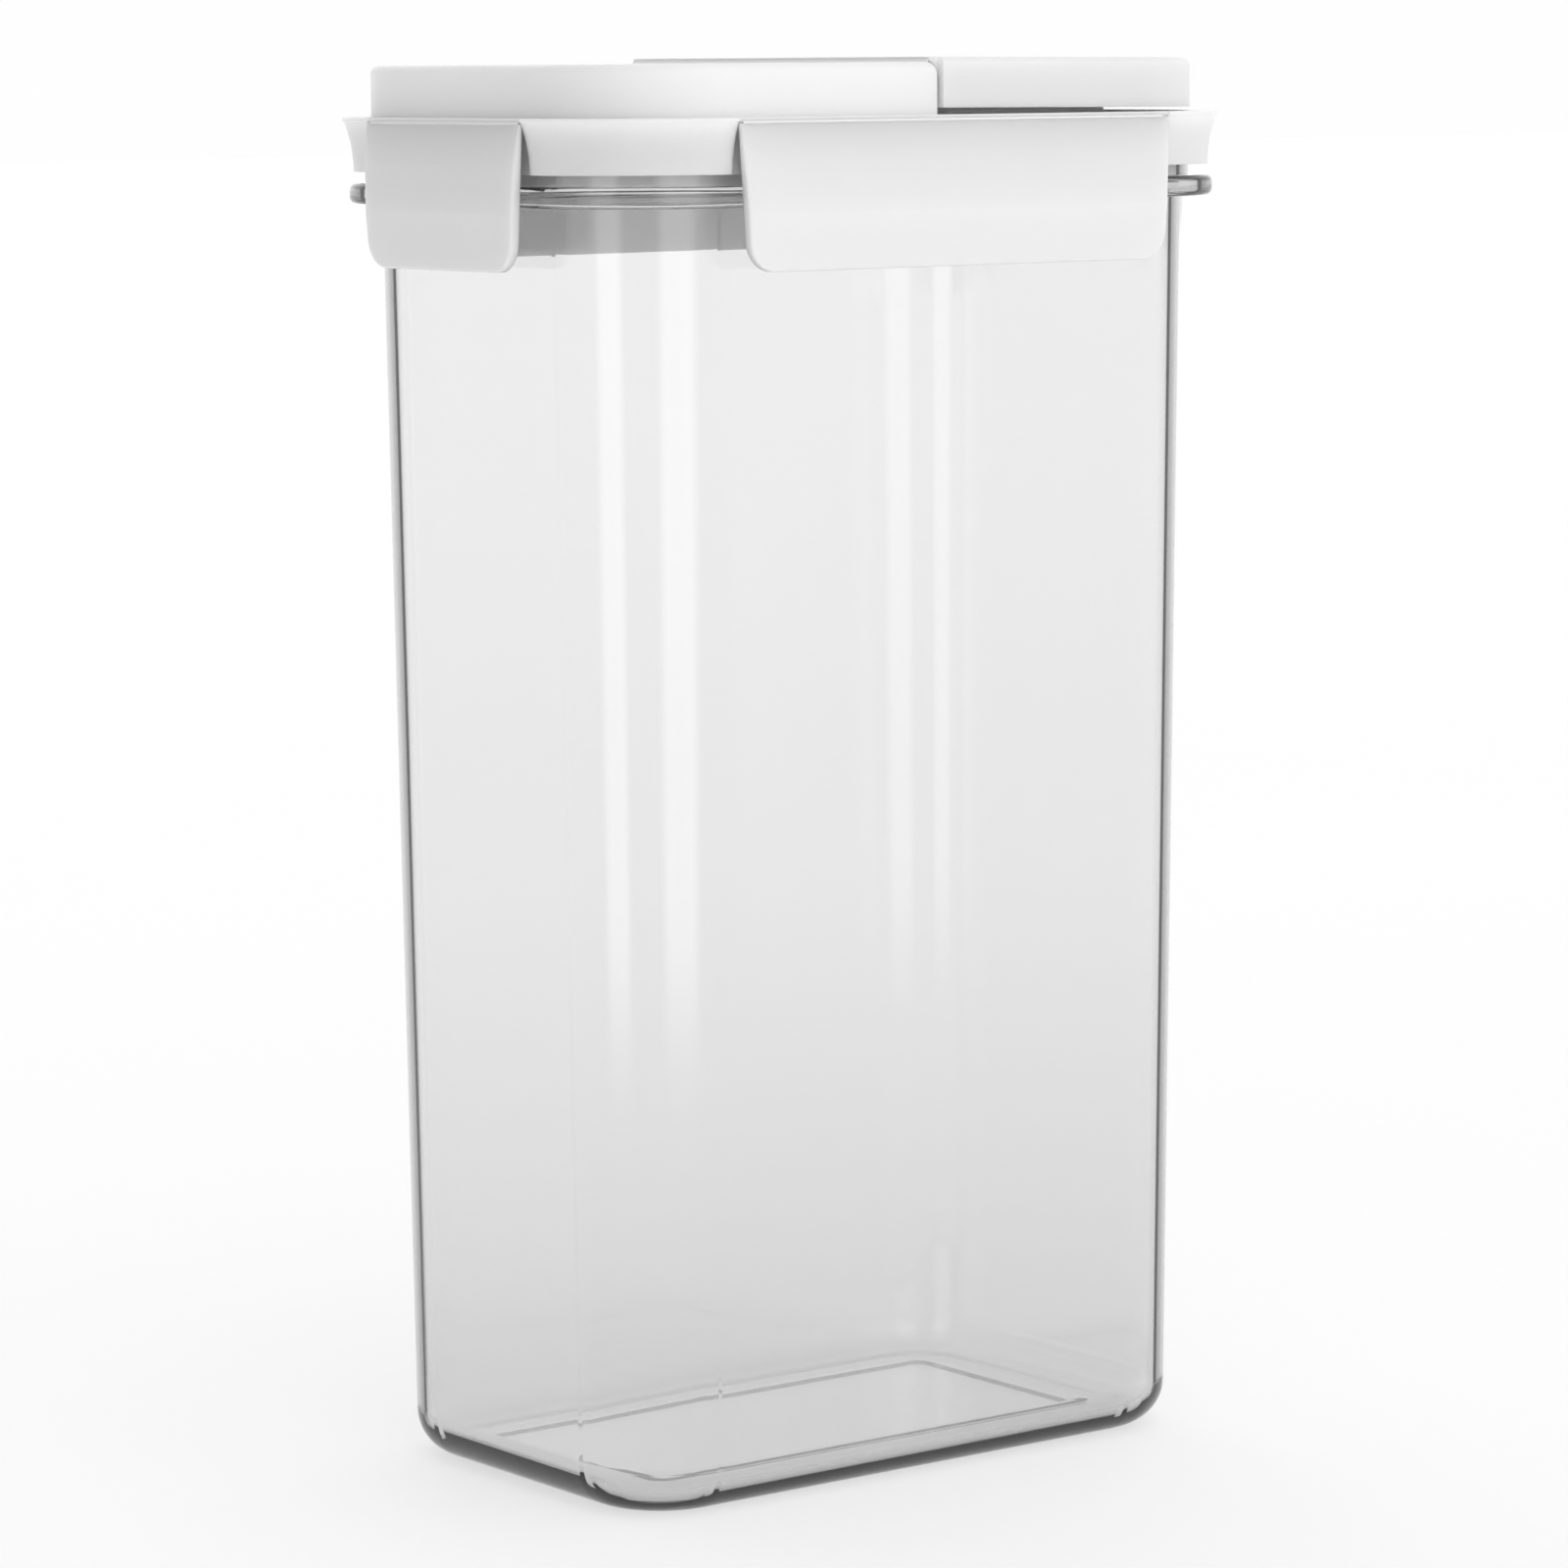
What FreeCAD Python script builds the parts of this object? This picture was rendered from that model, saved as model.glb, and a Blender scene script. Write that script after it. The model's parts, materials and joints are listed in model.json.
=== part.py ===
"""Tall clear container for dry pasta, with a four-flap locking lid and a flip-up pour cap.

Frame: +Z up, millimetres. The origin is the middle of the base, on the table.
X runs along the long side and the pour cap is at the +X end of the lid.
"""
import FreeCAD, Part
import math
import operator
import os
import Sketcher

# Driving dimensions
SIZES = (
    ("body_length", 150.2, "outside of the wall along X, under the flange"),
    ("body_width", 96.9, "outside of the wall along Y, under the flange"),
    ("body_corner", 23.1, "radius of the upright corners, under the flange"),
    ("base_inset", 3.3, "how far the tapered wall draws in at the base, each side"),
    ("body_wall", 1.9, "thickness of the clear wall"),
    ("floor_height", 3.3, "inner floor above the table"),
    ("foot_round", 9.0, "outer round between base and wall"),
    ("floor_round", 6.5, "inner round between floor and wall"),
    ("recess_margin", 17.0, "edge of the base recess from the wall, at the base"),
    ("recess_corner", 2.5, "corner radius of the base recess"),
    ("recess_depth", 0.7, "depth of the base recess"),
    ("flange_height", 253.0, "underside of the latch flange"),
    ("flange_thickness", 4.1, "thickness of the latch flange"),
    ("flange_reach", 6.5, "how far the flange stands out of the wall"),
    ("flange_round", 1.3, "round on the flange's edge"),
    ("neck_step", 1.7, "how far the neck stands out of the wall"),
    ("neck_wall", 1.6, "thickness of the neck"),
    ("neck_ledge", 2.0, "inner ledge below the neck, above the flange's underside"),
    ("neck_height", 12.4, "top of the neck above the flange's underside"),
    ("rim_round", 0.4, "round on the top of the neck"),
    ("gasket_height", 2.5, "height of the lid gasket"),
    ("plate_thickness", 2.0, "thickness of the lid's plate"),
    ("plate_gap", 0.65, "edge of the lid's plate inside the flaps' inner faces"),
    ("brim_cover", 0.15, "thin edge of the brim beyond the flaps' inner faces"),
    ("brim_thickness", 0.75, "thickness of that thin edge"),
    ("lip_flare", 0.95, "tip of the flared corner lip beyond the flaps' inner faces"),
    ("lip_round", 0.4, "round on the tip of that lip"),
    ("skirt_inset", 1.25, "foot of the corner skirt inside the flaps' inner faces"),
    ("skirt_wall", 1.5, "thickness of the corner skirt"),
    ("skirt_drop", 10.6, "foot of the corner skirt below the top of the brim"),
    ("skirt_cove", 26.0, "radius of the skirt's hollow flare"),
    ("skirt_gap", 0.35, "gap between a skirt and the end of a flap, at the top"),
    ("skirt_slant", 0.15, "draft of the skirt's end, over its height"),
    ("plateau_reach", 2.0, "side of the raised lid top beyond the wall"),
    ("plateau_rise", 10.1, "flat of the raised lid top above the brim"),
    ("plateau_top", 1.9, "thickness of the raised lid top"),
    ("plateau_round", 1.6, "round on its edge"),
    ("plateau_end_wall", 1.9, "thickness of its end wall beside the cap"),
    ("shoulder_round", 2.5, "round on its end under the cap's lip"),
    ("seam_gap", 0.8, "gap between the raised top and the pour cap"),
    ("plug_clearance", 0.4, "between the lid's plug or channel and the neck"),
    ("plug_wall", 1.6, "thickness of the plug"),
    ("plug_depth", 11.0, "depth of the plug below the plate"),
    ("plug_round", 0.6, "round on the foot of the plug"),
    ("channel_wall", 1.2, "outer wall of the gasket channel"),
    ("channel_depth", 8.6, "depth of that wall below the plate"),
    ("gasket_slack", 0.1, "side clearance of the gasket in its channel"),
    ("spout_end_margin", 12.3, "spout collar from the cap's ends, along X"),
    ("spout_side_margin", 19.4, "spout collar from the cap's sides, along Y"),
    ("spout_corner", 14.0, "corner radius of the spout collar"),
    ("spout_wall", 1.8, "thickness of the spout collar"),
    ("flap_gap", 0.35, "inner face of a flap from the flange's edge"),
    ("flap_tail", 12.1, "free edge of a flap below the flange's underside"),
    ("flap_knee", 8.0, "above the flange's underside, where a flap stops leaning out"),
    ("flap_belly", 1.0, "below the flange's underside, where a flap is thickest"),
    ("knee_thickness", 1.65, "thickness of a flap at that upper crease"),
    ("belly_thickness", 2.05, "thickness of a flap at that lower crease"),
    ("tail_thickness", 1.75, "thickness of a flap at its free edge"),
    ("flap_corner", 6.0, "radius of a flap's free corners"),
    ("flap_taper", 1.5, "how much a flap's end draws in towards its free edge"),
    ("flap_edge_round", 0.5, "round on a flap's outer edge"),
    ("flap_past", 0.9, "end of a flap at its hinge, beyond the start of the corner"),
    ("bead_gap", 0.3, "bead on a flap's hinge line from the brim above"),
    ("bead_radius", 0.4, "radius of the bead on the flap hinge line"),
    ("hook_gap", 0.3, "between a flap's catch and the flange"),
    ("hook_height", 2.6, "height of a flap's catch"),
    ("hook_bite", 0.9, "how far the catch reaches under the flange"),
    ("hook_nose", 0.9, "height of the blunt nose of the catch"),
    ("hook_inset", 8.0, "end of the catch from the end of its flap"),
    ("cap_rise", 1.0, "top of the pour cap at its hinge, above the raised top"),
    ("cap_fall", 0.6, "how much its top and foot fall towards the pour end"),
    ("cap_foot_gap", 1.3, "foot of the cap above the brim, at its hinge"),
    ("cap_wall", 1.8, "side wall of the pour cap"),
    ("cap_top", 2.2, "thickness of the cap's top at its hinge"),
    ("cap_round", 1.6, "round on the cap's upper edge"),
    ("cap_lip", 2.4, "how far the cap's hinge lip overhangs its end wall"),
    ("cap_cove", 3.6, "depth of the hollow under that lip"),
    ("cap_cove_round", 4.0, "radius of that hollow"),
    ("cap_bead", 0.45, "radius of the bead along the lip, on the cap hinge line"),
    ("seal_height", 2.8, "height of the spout seal"),
    ("seal_lap", 0.6, "how far the spout seal overhangs the collar, each side"),
    ("seal_slack", 0.1, "side clearance of that seal between its ribs"),
    ("rib_wall", 1.2, "ribs that hold the spout seal"),
    ("rib_height", 1.7, "height of those ribs"),
    ("thumb_width", 34.0, "width of the thumb lip at the pour end"),
    ("thumb_reach", 3.2, "how far the thumb lip stands out of the cap"),
    ("thumb_thickness", 1.8, "thickness of the thumb lip"),
    ("thumb_corner", 2.8, "corner radius of the thumb lip"),
)

NEAR = 0.01
SIGNS = {"+": operator.add, "-": operator.sub, "*": operator.mul, "/": operator.truediv}


class Size:
    """A length as its number in millimetres and as the sheet expression that gives it."""

    def __init__(self, value, text):
        self.value = value
        self.text = text

    def joined(self, sign, other):
        other = as_size(other)
        return Size(SIGNS[sign](self.value, other.value), f"({self.text} {sign} {other.text})")

    def __add__(self, other):
        return self.joined("+", other)

    def __sub__(self, other):
        return self.joined("-", other)

    def __mul__(self, other):
        return self.joined("*", other)

    def __truediv__(self, other):
        return self.joined("/", other)

    def __neg__(self):
        return as_size(0) - self


def as_size(number):
    """A plain number as a Size; a Size stays as it is."""
    return number if isinstance(number, Size) else Size(number, str(number))


doc = FreeCAD.newDocument("pasta_container")
sheet = doc.addObject("Spreadsheet::Sheet", "sizes")
size = {}
for row, (alias, number, meaning) in enumerate(SIZES, start=1):
    sheet.set(f"A{row}", meaning)
    sheet.set(f"B{row}", str(number))
    sheet.setAlias(f"B{row}", alias)
    size[alias] = Size(number, f"sizes.{alias}")
doc.recompute()


def bind(target, path, length):
    """Drive one property of an object from the sheet."""
    target.setExpression(path, as_size(length).text)


# Sketches
def arc_between(start, end, radius, turn):
    """The short arc from start to end; turn is 1 for anticlockwise and -1 for clockwise."""
    chord = end - start
    reach = math.sqrt(max(radius ** 2 - (chord.Length / 2) ** 2, 0.0))
    aside = FreeCAD.Vector(-chord.y, chord.x, 0).normalize() * (reach * turn)
    centre = start + chord / 2 + aside
    first, last = (start - centre, end - centre)[::turn]
    circle = Part.Circle(centre, FreeCAD.Vector(0, 0, 1), radius)
    return Part.ArcOfCircle(circle, math.atan2(first.y, first.x), math.atan2(last.y, last.x))


def pin(sketch, kind, places, length):
    """Add one dimension to a sketch and drive it from the sheet."""
    index = sketch.addConstraint(Sketcher.Constraint(kind, *places, as_size(length).value))
    bind(sketch, f"Constraints[{index}]", length)


def add_loop(sketch, steps):
    """Close a loop of steps: (x, y) is reached by a line, (x, y, radius, turn) by an arc."""
    points = [FreeCAD.Vector(as_size(step[0]).value, as_size(step[1]).value, 0) for step in steps]
    pieces = []
    for index, step in enumerate(steps):
        start, end = points[index - 1], points[index]
        if len(step) == 2:
            piece = sketch.addGeometry(Part.LineSegment(start, end), False)
            pieces.append((piece, 1, 2))
            continue
        radius, turn = as_size(step[2]), step[3]
        piece = sketch.addGeometry(arc_between(start, end, radius.value, turn), False)
        pieces.append((piece, 1, 2) if turn == 1 else (piece, 2, 1))
    for index, (piece, first, last) in enumerate(pieces):
        following = pieces[(index + 1) % len(pieces)]
        sketch.addConstraint(Sketcher.Constraint("Coincident", piece, last, following[0], following[1]))
        pin(sketch, "DistanceX", (piece, last), steps[index][0])
        pin(sketch, "DistanceY", (piece, last), steps[index][1])
        if len(steps[index]) == 4:
            pin(sketch, "Radius", (piece,), steps[index][2])


def draw(body, name, plane, lift, *loops):
    """A sketch of closed loops on one of the body's own planes, lifted along the plane's normal."""
    sketch = body.newObject("Sketcher::SketchObject", name)
    support = [item for item in body.Origin.OriginFeatures if item.Role == plane][0]
    sketch.AttachmentSupport = [(support, "")]
    sketch.MapMode = "FlatFace"
    bind(sketch, "AttachmentOffset.Base.z", lift)
    for loop in loops:
        add_loop(sketch, loop)
    return sketch


# Features
def finish_feature(body, feature):
    """Make a feature the body's last one, and stop with its own message if it failed."""
    body.Tip = feature
    doc.recompute()
    if "Up-to-date" not in feature.State:
        raise RuntimeError(f"{body.Label} {feature.Label}: {feature.getStatusString()}")
    return feature


def pad(body, name, sketch, length, reverse=False, symmetric=False):
    """Raise a sketch into a solid along its normal."""
    feature = body.newObject("PartDesign::Pad", name)
    feature.Profile = sketch
    feature.Reversed = reverse
    feature.SideType = "Symmetric" if symmetric else "One side"
    bind(feature, "Length", length)
    return finish_feature(body, feature)


def pocket(body, name, sketch, length, reverse=False, symmetric=False):
    """Cut a sketch out of the body against its normal, and make sure that something was cut."""
    before = body.Shape.Volume
    feature = body.newObject("PartDesign::Pocket", name)
    feature.Profile = sketch
    feature.Reversed = reverse
    feature.SideType = "Symmetric" if symmetric else "One side"
    bind(feature, "Length", length)
    finish_feature(body, feature)
    if feature.Shape.Volume > before - NEAR:
        raise RuntimeError(f"{feature.Label} cuts nothing")
    return feature


def fillet(body, name, edges, radius):
    """Round the named edges of the body."""
    if not edges:
        raise RuntimeError(f"{name} has no edges")
    base = body.Tip
    feature = body.newObject("PartDesign::Fillet", name)
    feature.Base = (base, edges)
    bind(feature, "Radius", radius)
    return finish_feature(body, feature)


def edges_where(body, test):
    """Names of the edges whose middle point and box pass a test."""
    names = []
    for index, edge in enumerate(body.Tip.Shape.Edges, start=1):
        middle = edge.valueAt((edge.FirstParameter + edge.LastParameter) / 2)
        if test(middle, edge.BoundBox):
            names.append(f"Edge{index}")
    return names


def level_edges(body, height, offset=None):
    """Edges that lie flat at a height and, where given, at an offset from the wall's outline."""
    height = as_size(height).value

    def on_level(middle, box):
        flat = abs(box.ZMin - height) < NEAR and abs(box.ZMax - height) < NEAR
        return flat and (offset is None or abs(offset_of(middle) - as_size(offset).value) < NEAR)

    return edges_where(body, on_level)


# Outlines that run parallel to the container's wall
half_length = size["body_length"] / 2
half_width = size["body_width"] / 2
corner_x = half_length - size["body_corner"]
corner_y = half_width - size["body_corner"]


def offset_of(point):
    """How far a point lies outside the wall's outline, seen from above."""
    across = abs(point.x) - corner_x.value
    along = abs(point.y) - corner_y.value
    if across > 0 and along > 0:
        return math.hypot(across, along) - size["body_corner"].value
    return max(across, along) - size["body_corner"].value


def rounded(half_x, half_y, corner, centre=0):
    """A rounded rectangle round a point on the X axis."""
    centre = as_size(centre)
    left, right = centre - half_x, centre + half_x
    return [
        (right - corner, -half_y),
        (right, corner - half_y, corner, 1),
        (right, half_y - corner),
        (right - corner, half_y, corner, 1),
        (left + corner, half_y),
        (left, half_y - corner, corner, 1),
        (left, corner - half_y),
        (left + corner, -half_y, corner, 1),
    ]


def outline(offset):
    """The wall's outline, moved outwards by an offset."""
    return rounded(half_length + offset, half_width + offset, size["body_corner"] + offset)


def left_part(offset, end):
    """The outline at an offset, kept from its -X side up to a straight end."""
    corner = size["body_corner"] + offset
    left, side = -half_length - offset, half_width + offset
    return [
        (end, -side),
        (end, side),
        (left + corner, side),
        (left, side - corner, corner, 1),
        (left, corner - side),
        (left + corner, -side, corner, 1),
    ]


def right_part(offset, end):
    """The outline at an offset, kept from a straight end up to its +X side."""
    corner = size["body_corner"] + offset
    right, side = half_length + offset, half_width + offset
    return [
        (right - corner, -side),
        (right, corner - side, corner, 1),
        (right, side - corner),
        (right - corner, side, corner, 1),
        (end, side),
        (end, -side),
    ]


# Heights and offsets that several pieces share
rim_height = size["flange_height"] + size["neck_height"]
plate_bottom = rim_height + size["gasket_height"]
deck_height = plate_bottom + size["plate_thickness"]
plateau_height = deck_height + size["plateau_rise"]
cap_height = plateau_height + size["cap_rise"]
flap_inside = size["flange_reach"] + size["flap_gap"]
lip_reach = flap_inside + size["lip_flare"]
wide_flap = (corner_x + size["flap_past"]) * 2
narrow_flap = (corner_y + size["flap_past"]) * 2
neck_inside = size["neck_step"] - size["neck_wall"]
plug_outside = neck_inside - size["plug_clearance"]
plug_inside = plug_outside - size["plug_wall"]
channel_inside = size["neck_step"] + size["plug_clearance"]
channel_outside = channel_inside + size["channel_wall"]
plateau_end = -size["seam_gap"] / 2
cap_end = size["seam_gap"] / 2
cap_side = size["plateau_reach"]
cap_tip = half_length + cap_side
cap_inside = cap_height - size["cap_top"]
cap_foot = deck_height + size["cap_foot_gap"]
cap_hinge_x = cap_end - size["cap_lip"] + size["cap_bead"]
cap_hinge_z = cap_height - size["cap_bead"]
spout_top = cap_inside - size["seal_height"]
spout_centre = (cap_end + cap_tip) / 2
spout_x = (cap_tip - cap_end) / 2 - size["spout_end_margin"]
spout_y = half_width + cap_side - size["spout_side_margin"]


def new_body(name):
    body = doc.addObject("PartDesign::Body", name)
    body.Label = name
    return body


def container_body():
    """Clear tapered box with a rounded foot, a latch flange and an upright neck."""
    body = new_body("container_body")
    taper = f"atan({(size['base_inset'] / size['flange_height']).text})"
    shell = pad(body, "shell", draw(body, "base_outline", "XY_Plane", 0, outline(-size["base_inset"])),
                size["flange_height"])
    shell.setExpression("TaperAngle", taper)
    doc.recompute()
    level = size["flange_height"]
    pad(body, "flange", draw(body, "flange_outline", "XY_Plane", level, outline(size["flange_reach"])),
        size["flange_thickness"])
    edge = level_edges(body, level, size["flange_reach"])
    edge += level_edges(body, level + size["flange_thickness"], size["flange_reach"])
    fillet(body, "flange_edge", edge, size["flange_round"])
    pad(body, "neck", draw(body, "neck_outline", "XY_Plane", level, outline(size["neck_step"])),
        size["neck_height"])
    inset = size["base_inset"] - size["base_inset"] * size["floor_height"] / size["flange_height"]
    floor = outline(-inset - size["body_wall"])
    ledge = level + size["neck_ledge"]
    hollow = pocket(body, "hollow", draw(body, "floor_outline", "XY_Plane", size["floor_height"], floor),
                    ledge - size["floor_height"], reverse=True)
    hollow.setExpression("TaperAngle", taper)
    doc.recompute()
    fillet(body, "floor_edge", level_edges(body, size["floor_height"]), size["floor_round"])
    fillet(body, "foot", level_edges(body, 0), size["foot_round"])
    pocket(body, "neck_bore", draw(body, "bore_outline", "XY_Plane", rim_height, outline(neck_inside)),
           rim_height - ledge)
    fillet(body, "rim", level_edges(body, rim_height), size["rim_round"])
    margin = size["base_inset"] + size["recess_margin"]
    recess = rounded(half_length - margin, half_width - margin, size["recess_corner"])
    pocket(body, "base_recess", draw(body, "recess_outline", "XY_Plane", 0, recess),
           size["recess_depth"], reverse=True)
    return body


def corner_skirts(body):
    """Flared skirt at each corner of the lid, one turned about its corner and three mirrored."""
    centre_line = size["body_corner"]
    tip, foot = centre_line + lip_reach, centre_line + flap_inside - size["skirt_inset"]
    deck, low, tip_round = deck_height, deck_height - size["skirt_drop"], size["lip_round"]
    inner_top = centre_line + flap_inside - size["plate_gap"] - size["skirt_wall"]
    profile = [
        (foot - size["skirt_wall"], low),
        (foot, low),
        (tip - tip_round, deck - tip_round * 2, size["skirt_cove"], -1),
        (tip, deck - tip_round, tip_round, 1),
        (tip - tip_round, deck, tip_round, 1),
        (inner_top, deck),
        (inner_top, plate_bottom),
    ]
    sketch = draw(body, "skirt_profile", "XZ_Plane", -corner_y, profile)
    sketch.AttachmentOffset.Rotation = FreeCAD.Rotation(FreeCAD.Vector(0, 1, 0), 45)
    bind(sketch, "AttachmentOffset.Base.x", corner_x)
    turn = body.newObject("PartDesign::Revolution", "skirt")
    turn.Profile = sketch
    turn.ReferenceAxis = (sketch, ["V_Axis"])
    turn.Midplane = True
    short = (size["flap_past"] + size["skirt_gap"]) / tip
    turn.setExpression("Angle", f"90 deg - 2 * asin({short.text})")
    finish_feature(body, turn)
    corners = body.newObject("PartDesign::MultiTransform", "four_skirts")
    corners.Originals = [turn]
    mirrors = []
    for role in ("YZ_Plane", "XZ_Plane"):
        mirror = body.newObject("PartDesign::Mirrored", f"skirt_over_{role[:2]}")
        mirror.MirrorPlane = ([item for item in body.Origin.OriginFeatures if item.Role == role][0], [""])
        mirrors.append(mirror)
    corners.Transformations = mirrors
    finish_feature(body, corners)
    sides = (
        ("XZ_Plane", wide_flap, half_width),
        ("YZ_Plane", narrow_flap, half_length),
    )
    for plane, length, span in sides:
        top = length / 2 + size["skirt_gap"]
        bottom = top + size["skirt_slant"]
        slot = [(-bottom, low), (bottom, low), (top, plate_bottom), (-top, plate_bottom)]
        pocket(body, f"skirt_ends_{plane[:2]}", draw(body, f"skirt_slot_{plane[:2]}", plane, 0, slot),
               (span + lip_reach) * 2, symmetric=True)


def lid_body():
    """White lid: brim and corner skirts, raised half, deck with pour spout, plug and gasket channel."""
    body = new_body("lid_body")
    plate = outline(flap_inside - size["plate_gap"])
    pad(body, "plate", draw(body, "plate_outline", "XY_Plane", plate_bottom, plate),
        size["plate_thickness"])
    brim = outline(flap_inside + size["brim_cover"])
    pad(body, "brim", draw(body, "brim_outline", "XY_Plane", deck_height - size["brim_thickness"], brim),
        size["brim_thickness"])
    corner_skirts(body)
    raised = left_part(size["plateau_reach"], plateau_end)
    pad(body, "plateau", draw(body, "plateau_outline", "XY_Plane", deck_height, raised),
        size["plateau_rise"])

    def at_end(middle, box):
        top = abs(box.ZMin - plateau_height.value) < NEAR
        return top and abs(box.XMin - plateau_end.value) < NEAR

    fillet(body, "shoulder", edges_where(body, at_end), size["shoulder_round"])
    sides = level_edges(body, plateau_height, size["plateau_reach"])
    fillet(body, "plateau_edge", sides, size["plateau_round"])
    hollow = left_part(plug_inside, plateau_end - size["plateau_end_wall"])
    pocket(body, "plateau_hollow", draw(body, "hollow_outline", "XY_Plane", plate_bottom, hollow),
           plateau_height - size["plateau_top"] - plate_bottom, reverse=True)
    plug = (outline(plug_outside), outline(plug_inside))
    pad(body, "plug", draw(body, "plug_outline", "XY_Plane", plate_bottom, *plug),
        size["plug_depth"], reverse=True)
    foot = level_edges(body, plate_bottom - size["plug_depth"], plug_outside)
    fillet(body, "plug_edge", foot, size["plug_round"])
    channel = (outline(channel_outside), outline(channel_inside))
    pad(body, "channel", draw(body, "channel_outline", "XY_Plane", plate_bottom, *channel),
        size["channel_depth"], reverse=True)
    collar = rounded(spout_x, spout_y, size["spout_corner"], spout_centre)
    pad(body, "collar", draw(body, "collar_outline", "XY_Plane", deck_height, collar),
        spout_top - deck_height)
    wall = size["spout_wall"]
    mouth = rounded(spout_x - wall, spout_y - wall, size["spout_corner"] - wall, spout_centre)
    pocket(body, "spout_mouth", draw(body, "mouth_outline", "XY_Plane", spout_top, mouth),
           spout_top - plate_bottom)
    return body


def lid_gasket():
    """Silicone ring in the lid's channel, pressed down on the neck."""
    body = new_body("lid_gasket")
    ring = (outline(channel_inside - size["gasket_slack"]), outline(plug_outside + size["gasket_slack"]))
    pad(body, "ring", draw(body, "ring_outline", "XY_Plane", rim_height, *ring), size["gasket_height"])
    return body


def flap(name, length, angle, away):
    """Locking flap, modelled on the -Y side and turned about Z to its own side of the lid."""
    body = new_body(name)
    inner, radius = flap_inside, size["bead_radius"]
    bead, bead_z = inner + radius, deck_height - size["brim_thickness"] - size["bead_gap"] - radius
    level = size["flange_height"]
    low, hook_top = level - size["flap_tail"], level - size["hook_gap"]
    catch = size["flange_reach"] - size["hook_bite"]
    section = [
        (-inner, low),
        (-inner, bead_z),
        (-bead, bead_z + radius, radius, 1),
        (-bead - radius, bead_z, radius, 1),
        (-inner - size["knee_thickness"], level + size["flap_knee"]),
        (-inner - size["belly_thickness"], level - size["flap_belly"]),
        (-inner - size["tail_thickness"], low),
    ]
    pad(body, "leaf", draw(body, "leaf_section", "YZ_Plane", 0, section), length, symmetric=True)
    half, taper, corner = length / 2, size["flap_taper"], size["flap_corner"]
    top, spare = bead_z + radius * 2, size["flap_corner"]
    waste = [
        (-half - spare, low - spare),
        (half + spare, low - spare),
        (half + spare, top),
        (-half - spare, top),
    ]
    face = [
        (half - taper - corner, low),
        (half - taper, low + corner, corner, 1),
        (half, top),
        (-half, top),
        (taper - half, low + corner),
        (taper + corner - half, low, corner, 1),
    ]
    reach = (inner + size["belly_thickness"] + spare) * 2
    pocket(body, "leaf_shape", draw(body, "leaf_outline", "XZ_Plane", 0, waste, face),
           reach, symmetric=True)

    skin = [(step[0].value, step[1].value) for step in section[-4:]]

    def on_rim(middle, box):
        """True on the rim of the outer face, and false on the creases across it."""
        if abs(middle.x) < NEAR and box.ZMin > low.value + NEAR:
            return False
        for (upper_y, upper_z), (lower_y, lower_z) in zip(skin, skin[1:]):
            share = (upper_z - middle.z) / (upper_z - lower_z)
            face_y = upper_y + (lower_y - upper_y) * share
            if -NEAR < share < 1 + NEAR and abs(face_y - middle.y) < NEAR:
                return True
        return False

    fillet(body, "leaf_edge", edges_where(body, on_rim), size["flap_edge_round"])
    hook = [
        (-inner, hook_top - size["hook_height"]),
        (-inner, hook_top),
        (-catch, hook_top),
        (-catch, hook_top - size["hook_nose"]),
    ]
    pad(body, "catch", draw(body, "catch_section", "YZ_Plane", 0, hook),
        length - size["hook_inset"] * 2, symmetric=True)
    body.Placement = FreeCAD.Placement(FreeCAD.Vector(), FreeCAD.Rotation(FreeCAD.Vector(0, 0, 1), angle))
    for axis, distance in zip("xy", away):
        bind(body, f"Placement.Base.{axis}", distance)
    return body


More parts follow.
